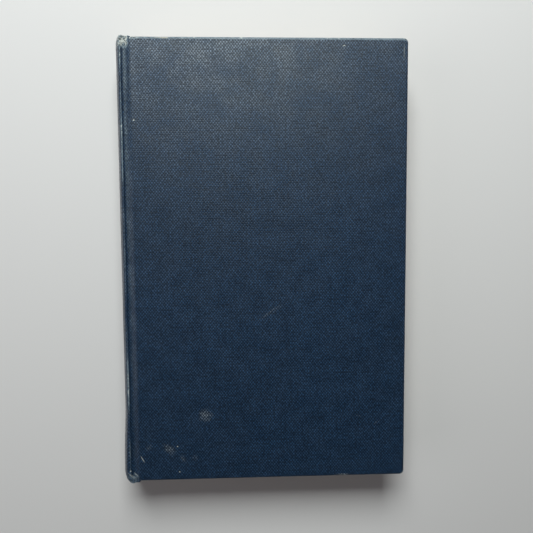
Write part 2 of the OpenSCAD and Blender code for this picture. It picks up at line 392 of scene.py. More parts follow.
def sectionPoint(part, at, depth):
    # a point of the section, at a depth below the face of the cloth
    if part == "foot":
        return at, jointSlope(at) - depth - joint["footDrop"] * ramp(at, *joint["footDropEnds"])
    angle = math.radians(at)
    cu, cv, radius = {
        "spine": (book["spineCentreU"], 0.0, book["spineR"] - depth),
        "ridge": (0.0, book["ridgeV"], book["ridgeR"] - depth),
        "groove": (book["grooveU"], book["grooveCentreV"], book["grooveR"] + depth),
    }[part]
    u, v = cu + radius * math.cos(angle), cv + radius * math.sin(angle)
    if part == "groove":
        v += cover["grooveFill"] * ramp(u, 0.6, 1.6)
    return u, v


def sectionRun(line):
    # the section's points, and their places along the cloth, which end at the foot's own u
    places = [sectionPoint(part, at, 0) for part, at in line]
    arcs = np.concatenate([[0], np.cumsum([math.dist(a, b) for a, b in zip(places, places[1:])])])
    return places, arcs + joint["footEnd"] - arcs[-1]


def overSpine(part, at, fade):
    # 0 beside the spine to 1 over it, with a fade that is a share of the spine's half
    if part != "spine":
        return 0.0
    return ramp((book["spineAngle"] - (180 - at)) / book["spineAngle"], 0, fade)


def alongBook(length, cell):
    return np.linspace(-length, length, int(2 * length / cell) + 1)


def foldedEnd(half, end, fold):
    # the cloth at one end of the spine: out over the cap, round it and back in at a depth
    near = [(y, 0.0) for y in np.linspace(half - joint["capStart"], end - fold / 2 - 0.4, 8)]
    turn = [(end - fold / 2 + math.sin(a) * fold / 2, fold / 2 - math.cos(a) * fold / 2)
            for a in np.radians([0, 25, 50, 75, 90, 105, 130, 155, 180])]
    back = [(y, fold) for y in (half - 2, half - 4, half - 8, half - book["turnIn"])]
    return near + turn + back


def crumple(p):
    # small folds in the worn ends of the spine's cloth
    u, y, v = p.T
    inEnds = ramp(np.abs(y), 104.5, 109.5) * (1 - ramp(u, 2.0, 4.0))
    a = np.sin(v * 3.1 + u * 1.7) * np.sin(y * 1.3 + 0.5)
    b = np.sin(v * 1.9 - y * 1.1 + 2.0) * np.sign(y)
    c = np.sin(v * 2.3) * np.cos(y * 2.1)
    return np.stack([a, b, c], axis=1) * joint["crumple"] * inEnds[:, None]


def sharpRims(bm, angle=60):
    # keeps the sheet's cut edges from shading into its face
    for edge in bm.edges:
        if len(edge.link_faces) == 2 and edge.calc_face_angle(0) > math.radians(angle):
            edge.smooth = False


def jointCloth(name, side):
    # the cloth from mid-spine over the ridge and through the groove, folded in at both ends
    line = sectionLine()
    half, capLength = book["halfHeight"], joint["capLength"]
    body = alongBook(half - joint["plainShort"], joint["cell"])
    points, uvs, columns = [], [], 0
    for (part, at), here, arc in zip(line, *sectionRun(line)):
        fold = joint["foldDepthJoint"]
        fold += overSpine(part, at, 0.1) * (joint["foldDepthSpine"] - fold)
        inCap = 1 - ramp(here[0], *joint["capEndU"])
        bulge = joint["tailBulge"] * (1 - ramp(here[0], *joint["tailBulgeU"]))
        # rounder at the tail, where the cap has been flattened
        fullness = (0.4 + 0.6 * ramp(here[0], -2.6, 0.2), 1.0)
        tail, head = [foldedEnd(half, half + rise * full * inCap, fold)
                      for rise, full in zip(joint["capRise"], fullness)]
        path = [(-y, d) for y, d in reversed(tail)]
        run = body[0] - math.dist(path[-1], (body[0], 0))
        run -= sum(math.dist(a, b) for a, b in zip(path, path[1:]))
        path += [(y, 0.0) for y in body] + head
        columns = len(path)
        before = path[0]
        for y, depth in path:
            run += math.dist((y, depth), before)
            before = (y, depth)
            end = 0 if y < 0 else 1
            u, v = sectionPoint(part, at, depth)
            # the cap draws in towards the leaves over its length, along an ellipse
            share = min(max((abs(y) - (half + 0.6 - capLength)) / capLength, 0.0), 1.0)
            u += joint["capPinch"][end] * inCap * (1 - math.sqrt(1 - share ** 2 * 0.98))
            u -= bulge * ramp(-y, *joint["tailBulgeY"])
            if part in ("groove", "foot"):
                hollow = max(joint["capPuffTop"] - depth - v, 0.0) * ramp(u, 1.2, 1.8)
                v += joint["capPuff"][end] * inCap * hollow * ramp(share, 0, 5 / 6)
            points.append((u, y, v))
            uvs.append((arc, run))
    p = np.array(points)
    p += crumple(p)
    uv = np.array(uvs) * (mm * side, mm)
    obj = makeObject(name, inPlace(p, side), gridFaces(len(line), columns), uv)
    facesUp(obj, (-0.4, 0, side))
    thicken(obj, joint["clothThick"])
    edit(obj, sharpRims)
    return obj


def bendWithCover(piece):
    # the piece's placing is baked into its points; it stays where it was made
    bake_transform(piece)


def moveWeave(obj, shift):
    data = obj.data.uv_layers["cloth"].data
    uv = np.empty(2 * len(data), np.float32)
    data.foreach_get("uv", uv)
    uv[::2] += shift
    data.foreach_set("uv", uv)


jointCloths = []
for side, name in ((1, "front_joint_cloth"), (-1, "back_joint_cloth")):
    piece = jointCloth(name, side)
    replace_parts(piece, "spine_cloth")
    bendWithCover(piece)
    jointCloths.append(piece)

# the weave runs on over the middle of the spine from the front half to the back half
for piece in (backCloth, jointCloths[1]):
    moveWeave(piece, 2 * mm * sectionRun(sectionLine())[1][0])

inlay = {"halfAngle": 23.5, "halfLength": 106.0, "depth": 0.42, "thick": 0.36}


def spineCard(name):
    # the card in the spine, a little shorter than the cloth that is folded over it
    angles = np.radians(np.linspace(-inlay["halfAngle"], inlay["halfAngle"], 25))
    ys = alongBook(inlay["halfLength"], 8.0)
    radius = book["spineR"] - inlay["depth"]
    points = [(book["spineCentreU"] - radius * math.cos(a), y, radius * math.sin(a))
              for a in angles for y in ys]
    uvs = np.array(points)[:, [1, 2]]
    return gridSheet(name, 1, (len(angles), len(ys)), points, uvs, (-1, 0, 0), inlay["thick"])


card = spineCard("spine_card")
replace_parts(card, "spine_inlay")
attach(card, "text_block")
print("book: joints and spine covered")

block = {
    "sections": 20,
    "leavesPerSection": 7,
    "leafWidth": 138.5,
    "cell": 24.0,
    "edgeWander": 0.04,
    "sectionWander": 0.06,
    "endWander": 0.05,
    "endRound": 0.08,
    "bow": 0.06,
    "slit": 0.06,
    "foldRound": 0.3,
    "foldSpread": 13.0,
    "foldSpreadMost": 12.9,
    "jointGap": 0.7,
    "shoulder": 0.1,
}


def blockHalfHeight(u):
    # half of the sewn block's thickness at u: it spreads out to the shoulders at the spine
    shoulder = book["ridgeV"] + block["shoulder"]
    reach = book["grooveR"] + block["jointGap"]
    du = book["grooveU"] - u
    if du <= 0:
        return book["leavesHalf"]
    if du >= reach * math.cos(math.radians(book["sideAngle"])):
        return shoulder
    beside = book["grooveCentreV"] - math.sqrt(reach ** 2 - du ** 2)
    return min(max(book["leavesHalf"], beside), shoulder)


def leafStack(name):
    # every leaf is a closed slab between t0 and t1, which are shares of the half thickness
    perSection, halfLeaf = block["leavesPerSection"], book["halfLeaf"]
    count = block["sections"] * perSection
    step = 2.0 / count
    points, uvs, faces = [], [], []
    ys = alongBook(halfLeaf, block["cell"])
    shares = [0, 0.004, 0.01, 0.016, 0.022, 0.03, 0.05, 0.1, *np.linspace(0.2, 1, 6)]
    wander = rng.normal(0, 1, (count, 4))
    sectionPull = rng.normal(0, block["sectionWander"], (block["sections"], 2))
    for k in range(count):
        t0 = -1 + k * step
        t1 = t0 + step
        # 1 for the outer leaves of a section, 0 for the middle one
        nest = abs(2 * (k % perSection) / (perSection - 1) - 1)
        folded = min(abs((t0 + t1) / 2) * block["foldSpread"], block["foldSpreadMost"])
        flat = (t0 + t1) / 2 * book["leavesHalf"]
        uFold = (book["spineCentreU"] - math.sqrt(book["foldR"] ** 2 - folded ** 2)
                 + block["foldRound"] * nest ** 2)
        uEnd = (book["spineCentreU"] + block["leafWidth"]
                - math.sqrt(book["foldR"] ** 2 - flat ** 2)
                + block["edgeWander"] * wander[k, 0] + sectionPull[k // perSection][0])
        uEnd = min(uEnd, book["leafEdgeU"])
        start = len(points)
        for y in ys:
            endShift = wander[k, 1 if y < 0 else 2] * block["endWander"] - block["endRound"]
            leafY = y + (abs(y) / halfLeaf) ** 8 * math.copysign(1, y) * endShift
            bow = block["bow"] * wander[k, 3] * math.sin(y / 31.0 + wander[k, 0] * 3)
            lower, upper = [], []
            for s in shares:
                u = uFold + s * (uEnd - uFold) + bow * s
                half = blockHalfHeight(u)
                slit = block["slit"] * step * half
                lower.append((u, leafY, t0 * half + slit))
                upper.append((u, leafY, t1 * half - slit))
            points += lower + upper[::-1]
            uvs += [p[:2] for p in lower + upper[::-1]]
        around = 2 * len(shares)
        faces += gridFaces(len(ys), around, start, closed=True)
        faces += endFaces(start, len(points), around)
    obj = makeObject(name, inPlace(points, 1), faces, np.array(uvs) * mm)
    edit(obj, agreeFaces)
    obj.data.polygons.foreach_set("use_smooth", [False] * len(obj.data.polygons))
    return obj


leaves = leafStack("leaf_stack")
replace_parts(leaves, "pages")
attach(leaves, "text_block")

band = {
    "beadR": 0.82,
    "threadPitch": 0.52,
    "threadRise": 0.11,
    "tape": 0.25,
    "tapeEnds": (96.0, 108.3),
}


def headband(name, end):
    # a bead wrapped in thread over the ends of the folds, on a tape that lies on the folds
    inner, outer = book["foldR"] + 0.05, book["foldR"] + 0.04 + band["tape"]
    centreR = outer - band["beadR"] - 0.1
    centreY = book["halfLeaf"] + band["beadR"]
    span = math.radians(book["foldAngle"])
    threads = int(2 * span * centreR / band["threadPitch"])
    steps, around, tapeSteps = threads * 4, 14, 24
    points, uvs = [], []

    def addPoint(angle, radius, y):
        points.append((book["spineCentreU"] + radius * math.cos(angle), end * y,
                       radius * math.sin(angle)))

    for i in range(steps + 1):
        share = i / steps
        angle = math.pi + span * (2 * share - 1)
        radius = band["beadR"] - band["threadRise"]
        radius += band["threadRise"] * abs(math.sin(math.pi * share * threads))
        if i in (0, steps):
            radius *= 0.7
        for j in range(around):
            turn = 2 * math.pi * j / around
            addPoint(angle, centreR + radius * math.cos(turn), centreY + radius * math.sin(turn))
            uvs.append((share * threads, j / around))
    first = len(points)
    faces = gridFaces(steps + 1, around, closed=True) + endFaces(0, first, around)
    tapeIn, tapeOut = band["tapeEnds"]
    for i in range(tapeSteps + 1):
        angle = math.pi + span * (2 * i / tapeSteps - 1)
        for radius, y in ((inner, tapeIn), (outer, tapeIn), (outer, tapeOut), (inner, tapeOut)):
            addPoint(angle, radius, y)
            uvs.append((0.25, 0.5))
    faces += gridFaces(tapeSteps + 1, 4, first, closed=True)
    faces += endFaces(first, len(points), 4)
    obj = makeObject(name, inPlace(points, 1), faces, uvs)
    edit(obj, agreeFaces)
    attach(obj, "text_block")
    return obj


bands = [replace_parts(headband("headband_threads", 1), "headband"),
         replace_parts(headband("tailband_threads", -1), "tailband")]
print("book: leaves and headbands made")

papers = {
    "thick": 0.19,
    "short": 0.1,
    "foldU": 2.62,
    "foldCentreU": 2.42,
    "hingeLines": (2.7, 2.95, 3.2, 3.45, 3.7, 3.95, 4.15, 4.39),
    "hingeStart": 2.6,
    "hingeEnd": 4.2,
    "curl": 0.045,
    "curlU": (60.0, 136.0),
    "mullEdgeU": (29.3, 30.6),
    "lapEdgeU": (125.7, 127.0),
    "lapEdgeY": (95.0, 96.3),
}


def flyleafSheet(name, side):
    us = np.array([papers["foldU"] - 0.35, papers["foldU"], 4.0, 6.0,
                   *np.linspace(9, book["leafEdgeU"] - 0.15, 44)])
    ys = alongBook(book["halfLeaf"] - papers["short"], 5.0)
    level = book["flyleafTop"] - 0.005
    points = []
    for y in ys:
        lift = papers["curl"] * (0.5 + 0.5 * math.sin(y / 26 + 0.8))
        points += [(u, y, level + lift * ramp(u, *papers["curlU"])) for u in us]
    uvs = [p[:2] for p in points]
    return gridSheet(name, side, (len(ys), len(us)), points, uvs, (0, 0, side), papers["thick"])


def endpaperHinge(name, side):
    # the folded endpaper from the flyleaf up to the edge of the pasted leaf
    low, high = book["leavesHalf"] + 0.1, book["pasteV"] + 0.1
    middle, radius = (low + high) / 2, (high - low) / 2
    line = [(papers["foldU"], low)]
    line += [(papers["foldCentreU"] + radius * math.cos(a), middle + radius * math.sin(a))
             for a in np.radians([270, 234, 198, 162, 126, 90])]
    line += [(u, high) for u in papers["hingeLines"]]
    ys = alongBook(book["halfLeaf"] - papers["short"], 6.0)
    return bentSheet(name, side, line, ys, (-1, 0, 0), papers["thick"], 0.0)


def pastedown(name, side):
    # the pasted leaf: it shows the edges of the turned-in cloth and of the mull beneath it
    us = np.array([4.4, 6, 9, 13, 18, 23, 27, 28.4, 29.2, 29.7, 30.2, 31,
                   *np.linspace(34, 122, 25), 124, 125.1, 125.9, 126.4, 126.9, 127.7, 129.5,
                   132.5, 135.5, 137.7, book["leafEdgeU"]])
    ys = np.array([0, 6, 14, 22, *np.linspace(30, 90, 16),
                   92.5, 94, 95, 95.6, 96.2, 97.2, 99, 102, 105, 107, 108])
    ys = np.concatenate([-ys[:0:-1], ys])
    depth = book["boardV"] - 0.005 - book["lapV"]
    points = []
    for y in ys:
        inner = depth * (1 - ramp(abs(y), *papers["lapEdgeY"]))
        points += [(u, y, book["pasteV"] + inner * ramp(u, *papers["mullEdgeU"])
                    * (1 - ramp(u, *papers["lapEdgeU"]))) for u in us]
    uvs = [p[:2] for p in points]
    return gridSheet(name, side, (len(ys), len(us)), points, uvs, (0, 0, -side), papers["thick"])


mullStrip = {"halfLength": 95.0, "thick": 0.28, "jointDepth": 0.36, "play": 0.01}


def mullHalf(name, side):
    # half of the open cloth over the folds, with its strip through the joint
    jointDepth = mullStrip["jointDepth"]
    deeper = book["spineR"] - book["mullR"] + mullStrip["play"] - jointDepth
    line = [sectionPoint(part, at, jointDepth + overSpine(part, at, 0.12) * deeper)
            for part, at in sectionLine()]
    ys = alongBook(mullStrip["halfLength"], 6.0)
    return bentSheet(name, side, line, ys, (-0.4, 0, side), mullStrip["thick"])


sheets, mulls = [], []
for side, body, word in ((1, "front_cover", "front"), (-1, "back_cover", "back")):
    flyleaf = flyleafSheet(word + "_flyleaf_sheet", side)
    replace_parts(flyleaf, word + "_flyleaf")
    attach(flyleaf, "text_block")
    hinge = endpaperHinge(word + "_endpaper_hinge", side)
    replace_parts(hinge, word + "_flyleaf")
    bendWithCover(hinge)
    pasted = pastedown(word + "_pasted_leaf", side)
    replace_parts(pasted, word + "_pastedown")
    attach(pasted, body)
    mull = mullHalf(word + "_mull_strip", side)
    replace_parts(mull, "spine_mull")
    bendWithCover(mull)
    sheets += [flyleaf, hinge, pasted]
    mulls.append(mull)
print("book: endpapers and mull made")


def put(tree, kind, inputs=None, **settings):
    # adds a node; each of its inputs is given a value or linked to another node's output
    node = tree.nodes.new(kind)
    for key, value in settings.items():
        setattr(node, key, value)
    for key, value in (inputs or {}).items():
        socket = node.inputs[key]
        if isinstance(value, bpy.types.NodeSocket):
            tree.links.new(value, socket)
        else:
            socket.default_value = value
    return node


def place(tree, group, inputs):
    return put(tree, "ShaderNodeGroup", inputs, node_tree=group).outputs


def maths(tree, operation, a, b=0.0, c=0.0):
    return put(tree, "ShaderNodeMath", {0: a, 1: b, 2: c}, operation=operation).outputs[0]


def times(tree, a, b):
    return maths(tree, "MULTIPLY", a, b)


def plus(tree, value, factor, offset):
    return maths(tree, "MULTIPLY_ADD", value, factor, offset)


def ranged(tree, value, fromMin, fromMax, toMin=0.0, toMax=1.0, kind="SMOOTHSTEP"):
    return put(tree, "ShaderNodeMapRange",
               {"Value": value, "From Min": fromMin, "From Max": fromMax, "To Min": toMin,
                "To Max": toMax}, interpolation_type=kind).outputs["Result"]


def varied(tree, noiseValue, low, high):
    # noise lies mostly between 0.3 and 0.7
    return ranged(tree, noiseValue, 0.3, 0.7, low, high)


def noise(tree, vector, scale, detail=2.0, roughness=0.5):
    return put(tree, "ShaderNodeTexNoise",
               {"Vector": vector, "Scale": scale, "Detail": detail,
                "Roughness": roughness}).outputs["Fac"]


def stretched(tree, vector, scale):
    return put(tree, "ShaderNodeVectorMath", {0: vector, 1: scale},
               operation="MULTIPLY").outputs["Vector"]


def separate(tree, vector):
    return put(tree, "ShaderNodeSeparateXYZ", {0: vector}).outputs


def unrolledPlace(tree):
    return put(tree, "ShaderNodeUVMap", uv_map="cloth").outputs["UV"]


def objectPlace(tree):
    return put(tree, "ShaderNodeTexCoord").outputs["Object"]


def mixed(tree, factor, a, b, blend="MIX"):
    a, b = [(*c, 1) if isinstance(c, tuple) else c for c in (a, b)]
    return put(tree, "ShaderNodeMix", {0: factor, 6: a, 7: b}, data_type="RGBA",
               blend_type=blend).outputs[2]


def shaded(tree, colour, tone):
    # the colour times a grey
    grey = put(tree, "ShaderNodeCombineColor", {0: tone, 1: tone, 2: tone}).outputs[0]
    return mixed(tree, 1.0, colour, grey, "MULTIPLY")


def newGroup(name, inputs, outputs):
    # inputs are label: default value, and None stands for a vector that is always linked
    group = bpy.data.node_groups.new(name, "ShaderNodeTree")
    for label, value in inputs.items():
        kind = "NodeSocketVector" if value is None else "NodeSocketFloat"
        socket = group.interface.new_socket(label, in_out="INPUT", socket_type=kind)
        if value is not None:
            socket.default_value = value
    for label in outputs:
        group.interface.new_socket(label, in_out="OUTPUT", socket_type="NodeSocketFloat")
    given = group.nodes.new("NodeGroupInput").outputs
    return group, given, group.nodes.new("NodeGroupOutput").inputs


def weaveGroup():
    # plain weave from the unrolled cloth's coordinates: raised crossings, every second lower
    group, given, out = newGroup(
        "plainWeave",
        {"Vector": None, "Warp pitch": 0.00071, "Weft pitch": 0.00088, "Wander": 0.1},
        ("Height", "Crossing", "Slub"))
    flat = given["Vector"]
    parts = separate(group, flat)
    sidewaysWander = noise(group, flat, 160.0, 1.0)
    endwaysWander = noise(group, stretched(group, flat, (1.3, 0.8, 1.0)), 90.0, 1.0)
    across = maths(group, "DIVIDE", parts[0], given["Warp pitch"])
    along = maths(group, "DIVIDE", parts[1], given["Weft pitch"])
    across = plus(group, sidewaysWander, given["Wander"], across)
    along = plus(group, endwaysWander, given["Wander"], along)
    sines = [maths(group, "SINE", times(group, x, math.pi)) for x in (across, along)]
    crossing = times(group, *sines)
    pillow = maths(group, "POWER", maths(group, "ABSOLUTE", crossing), 0.6)
    upper = plus(group, crossing, 0.5, 0.5)
    group.links.new(times(group, pillow, plus(group, upper, 0.55, 0.45)), out["Height"])
    group.links.new(upper, out["Crossing"])
    threads = maths(group, "ADD",
                    noise(group, stretched(group, flat, (1400.0, 40.0, 1.0)), 1.0, 1.0),
                    noise(group, stretched(group, flat, (35.0, 1150.0, 1.0)), 1.0, 1.0))
    group.links.new(times(group, threads, 0.5), out["Slub"])
    return group


def markGroup():
    # a soft, broken mark: an ellipse round its centre
    group, given, out = newGroup(
        "rubbedMark",
        {"Vector": None, "Centre": None, "Turn": 0.0, "Length": 1.0, "Width": 1.0,
         "Soft": 0.5, "Breakup": 0.5, "Grain": 900.0},
        ("Mask",))
    offset = put(group, "ShaderNodeVectorMath", {0: given["Vector"], 1: given["Centre"]},
                 operation="SUBTRACT").outputs["Vector"]
    turned = put(group, "ShaderNodeVectorRotate", {"Vector": offset, "Angle": given["Turn"]},
                 rotation_type="Z_AXIS").outputs["Vector"]
    parts = separate(group, turned)
    a = maths(group, "DIVIDE", parts[0], given["Length"])
    b = maths(group, "DIVIDE", parts[1], given["Width"])
    far = maths(group, "SQRT", maths(group, "ADD", times(group, a, a), times(group, b, b)))
    grain = maths(group, "SUBTRACT", noise(group, given["Vector"], given["Grain"]), 0.5)
    ragged = plus(group, grain, given["Breakup"], far)
    inner = maths(group, "SUBTRACT", 1.0, given["Soft"])
    group.links.new(ranged(group, ragged, inner, 1.0, 1.0, 0.0), out["Mask"])
    return group


def fibreGroup():
    # paper: fine fibres, cloudiness and brown specks
    group, given, out = newGroup("paperFibre", {"Vector": None, "Specks": 0.5},
                                 ("Height", "Cloud", "Speck"))
    flat = given["Vector"]
    fine = noise(group, stretched(group, flat, (1.0, 2.6, 1.0)), 1800.0, 3.0, 0.6)
    cells = put(group, "ShaderNodeTexVoronoi", {"Vector": flat, "Scale": 110.0})
    distance = cells.outputs["Distance"]
    size = times(group, times(group, noise(group, flat, 60.0, 1.0), 0.34), given["Specks"])
    speck = maths(group, "LESS_THAN", distance, size)
    rare = maths(group, "GREATER_THAN", noise(group, flat, 21.0, 1.0), 0.6)
    soft = ranged(group, distance, 0.0, 0.22, 1.0, 0.0)
    group.links.new(fine, out["Height"])
    group.links.new(noise(group, flat, 38.0, 3.0, 0.6), out["Cloud"])
    group.links.new(times(group, times(group, speck, rare), soft), out["Speck"])
    return group


plainWeave, rubbedMark, paperFibre = weaveGroup(), markGroup(), fibreGroup()


def newMaterial(name, roughness, specular=0.5):
    material = bpy.data.materials.new(name)
    material.use_nodes = True
    tree = material.node_tree
    shader = tree.nodes["Principled BSDF"]
    shader.inputs["Roughness"].default_value = roughness
    shader.inputs["Specular IOR Level"].default_value = specular
    return material, tree, shader


def relief(tree, height, depth, strength):
    return put(tree, "ShaderNodeBump",
               {"Height": height, "Distance": depth, "Strength": strength})


def link(tree, shader, colour, roughness, bump):
    tree.links.new(colour, shader.inputs["Base Color"])
    tree.links.new(roughness, shader.inputs["Roughness"])
    tree.links.new(bump.outputs["Normal"], shader.inputs["Normal"])


def dress(obj, material):
    if obj.material_slots:
        for slot in obj.material_slots:
            slot.material = material
    else:
        obj.data.materials.append(material)


clothLook = {
    "navy": (0.0070, 0.0228, 0.0525),
    "deepNavy": (0.0054, 0.0184, 0.0430),
    "rubbedAndLit": (0.165, 0.205, 0.240),
    "bare": (0.52, 0.52, 0.49),
    "gap": (0.020, 0.024, 0.030),
    "roughness": 0.46,
    "specular": 0.32,
    "coatRoughness": 0.34,
    "weaveWander": 0.6,
    "weaveDepth": 0.00007,
    "mottleDepth": 0.0002,
}

# Marks on the front cover: x and y from its middle, half length, half width, turn in
# degrees, softness, breakup, strength. All lengths are in millimetres.
frontMarks = [
    (-29.9, -77.2, 4.8, 4.2, 0, 0.85, 0.9, 0.30),
    (-48.6, -94.6, 5.0, 3.2, -48, 0.9, 1.1, 0.26),
    (-41.8, -99.6, 3.2, 1.5, -45, 0.9, 1.1, 0.18),
    (-59.0, -93.6, 2.6, 1.6, 35, 0.95, 1.2, 0.16),
    (-35.6, -99.2, 2.6, 2.0, 50, 0.95, 1.2, 0.10),
    (-62.3, -99.5, 2.4, 0.26, -62, 0.5, 0.5, 0.60),
    (-62.6, 71.0, 0.5, 0.45, 0, 0.5, 0.3, 0.8),
    (40.7, 107.0, 0.8, 0.3, 20, 0.5, 0.3, 0.6),
    (-44.5, -93.2, 0.38, 0.34, 0, 0.5, 0.3, 0.9),
    (-43.6, -106.6, 0.40, 0.36, 0, 0.5, 0.3, 1.0),
    (3.6, -24.4, 9.0, 0.9, 36, 0.95, 0.8, 0.20),
    (6.6, -23.6, 6.0, 0.5, 40, 0.95, 0.8, 0.14),
    (58.2, -82.7, 2.6, 0.8, 30, 0.9, 1.0, 0.12),
    (48.7, -79.1, 2.2, 0.6, -20, 0.9, 1.0, 0.12),
    (70.6, 104.7, 0.35, 4.3, 0, 0.7, 0.6, 0.25),
    (40.6, -110.2, 4.6, 0.6, 0, 0.6, 0.7, 0.85),
    (20.0, 10.6, 3.0, 0.25, 75, 0.9, 0.8, 0.08),
]
# the same for the cloth in the front joint, by its unrolled place
jointMarks = [
    (-69.0, -105.6, 0.42, 0.36, 0, 0.5, 0.3, 0.9),
    (-68.9, -108.0, 2.6, 0.30, -58, 0.7, 0.5, 0.5),
    (-67.4, -109.0, 2.2, 0.24, -50, 0.7, 0.5, 0.4),
    (-66.0, -107.8, 2.4, 0.28, -44, 0.7, 0.5, 0.5),
]
coarseGrain, fineGrain = 420.0, 900.0
scuffBreakup = 0.7  # marks as broken as this, or more, stay on the crests of the weave


def clothMaterial(name, marks):
    material, tree, shader = newMaterial(name, clothLook["roughness"], clothLook["specular"])
    shader.inputs["Coat Roughness"].default_value = clothLook["coatRoughness"]
    unrolled = unrolledPlace(tree)
    weave = place(tree, plainWeave, {"Vector": unrolled, "Wander": clothLook["weaveWander"]})
    uneven = noise(tree, unrolled, 900.0, 1.0)
    mottle = noise(tree, unrolled, 130.0, 3.0, 0.6)
    patches = noise(tree, unrolled, 14.0)
    colour = mixed(tree, ranged(tree, mottle, 0.35, 0.65), clothLook["deepNavy"],
                   clothLook["navy"])

    # the dressing wears off the crests of the weave first, so they are paler and glossier; the low
    # places between the crests are painted strongly darker, as painted shade
    crest = times(tree, maths(tree, "POWER", weave["Crossing"], 1.8),
                  ranged(tree, uneven, 0.32, 0.68, 0.35, 1.6))
    # tone: paler worn crests, and painted shade in the weave's low places
    tone = plus(tree, crest, 1.75, 0.45)
    tone = times(tree, tone, varied(tree, weave["Slub"], 0.88, 1.12))
    tone = times(tree, tone, varied(tree, patches, 0.95, 1.05))
    colour = shaded(tree, colour, tone)

    # wear and painted light: rubbed dye, then bare threads, with dark gaps where the cloth is
    # frayed; the pale rubbed colour also paints a highlight along the head edge and light on the
    # joints' slopes
    wornAndLit = put(tree, "ShaderNodeAttribute", attribute_name="wearAndLight").outputs["Fac"]
    fray = plus(tree, noise(tree, unrolled, 620.0, 3.0, 0.7), 2.2, -0.60)
    fray = plus(tree, noise(tree, unrolled, 70.0), 1.0, fray)
    broken = times(tree, fray, wornAndLit)
    rubbedAndLit = times(tree, ranged(tree, broken, 0.20, 0.95, 0.0, 0.95),
                   maths(tree, "MAXIMUM", ranged(tree, crest, 0.0, 0.6, 0.4, 1.0),
                         ranged(tree, wornAndLit, 0.4, 0.8)))
    gaps = times(tree, ranged(tree, wornAndLit, 0.75, 1.1),
                 ranged(tree, noise(tree, unrolled, 1100.0, 2.0, 0.6), 0.42, 0.50, 0.85, 0.0))
    colour = mixed(tree, rubbedAndLit, colour, clothLook["rubbedAndLit"])
    colour = mixed(tree, ranged(tree, broken, 1.00, 1.35), colour, clothLook["bare"])
    colour = mixed(tree, gaps, colour, clothLook["gap"])
    for x, y, length, width, turn, soft, breakup, strength in marks:
        mask = place(tree, rubbedMark, {
            "Vector": unrolled, "Centre": ((x + book["middleU"]) * mm, y * mm, 0.0),
            "Turn": -math.radians(turn), "Length": length * mm, "Width": width * mm,
            "Soft": soft, "Breakup": breakup,
            "Grain": coarseGrain if width > 1 else fineGrain})["Mask"]
        if breakup >= scuffBreakup:
            mask = times(tree, mask, ranged(tree, crest, 0.15, 0.85, 0.05, 1.0))
        colour = mixed(tree, times(tree, mask, strength), colour, clothLook["bare"])

    # the crests' gloss is cloudy, and dull where they are rubbed
    dull = maths(tree, "SUBTRACT", 1.0, times(tree, rubbedAndLit, 0.7))
    clouds = ranged(tree, noise(tree, unrolled, 70.0, 3.0, 0.6), 0.37, 0.63, 0.62, 1.34)
    gloss = times(tree, times(tree, crest, dull), clouds)
    tree.links.new(gloss, shader.inputs["Coat Weight"])
    rough = varied(tree, mottle, clothLook["roughness"] - 0.04, clothLook["roughness"] + 0.05)
    height = plus(tree, weave["Slub"], 0.5, weave["Height"])
    bump = relief(tree, plus(tree, broken, 0.9, height), clothLook["weaveDepth"], 1.0)
    slowBump = relief(tree, mottle, clothLook["mottleDepth"], 0.5)
    tree.links.new(slowBump.outputs["Normal"], bump.inputs["Normal"])
    link(tree, shader, colour, plus(tree, rubbedAndLit, 0.15, rough), bump)
    return material


# the cloth's wear, with painted light: a highlight along the head edge, and joints paler towards
# the head
wearAndLight = {
    "edge": 0.30,
    # headEdge: a painted highlight along the head edge, with some wear
    "headEdge": 0.85,
    "headEdgeWidth": (0.8, 1.9),
    "ridge": 0.50,
    # slope and slopeTowardsHead: the joint paler towards the head, wear and painted light
    "slope": 0.40,
    "slopeTowardsHead": 0.0012,
    "head": 1.01,
    "headCap": (104.6, 107.2),
    "tail": 0.71,
    "tailCap": (105.6, 108.8),
}


def setWearAndLight(obj, values):
    attribute = obj.data.attributes.new("wearAndLight", "FLOAT", "POINT")
    attribute.data.foreach_set("value", np.asarray(values, np.float32))


def meshPoints(obj, side):
    # u, y and the height on the cover's own side of a mesh's points, in millimetres
    co = np.empty(len(obj.data.vertices) * 3)
    obj.data.vertices.foreach_get("co", co)
    x, y, z = (co.reshape(-1, 3) / mm).T
    return x + book["middleU"], y, side * (z - book["topV"])


def bell(x, centre, width):
    return np.exp(-((x - centre) / width) ** 2)


def coverWearAndHighlight(obj, side, cornersWorn):
    # pale along the edges of the board, most of all at the head, and at some corners: wear, and at
    # the head edge mostly a painted highlight
    u, y, v = meshPoints(obj, side)
    inset = np.minimum(book["coverEndU"] - u, book["halfHeight"] - np.abs(y))
    arris = bell(np.hypot(np.clip(inset, 0, 9), np.clip(book["topV"] - v, 0, 9)), 0, 0.75)
    # a painted highlight along the head edge, with some wear
    headEdge = (1 - ramp(book["halfHeight"] - y, *wearAndLight["headEdgeWidth"])) * (v > 12.6)
    wornAndLit = np.maximum(wearAndLight["edge"] * np.clip(arris * 2.2, 0, 1), wearAndLight["headEdge"] * headEdge)
    for cornerU, cornerY, radius, amount in cornersWorn:
        wornAndLit += amount * bell(np.hypot(u - cornerU, y - cornerY), 0, radius)
    setWearAndLight(obj, wornAndLit)


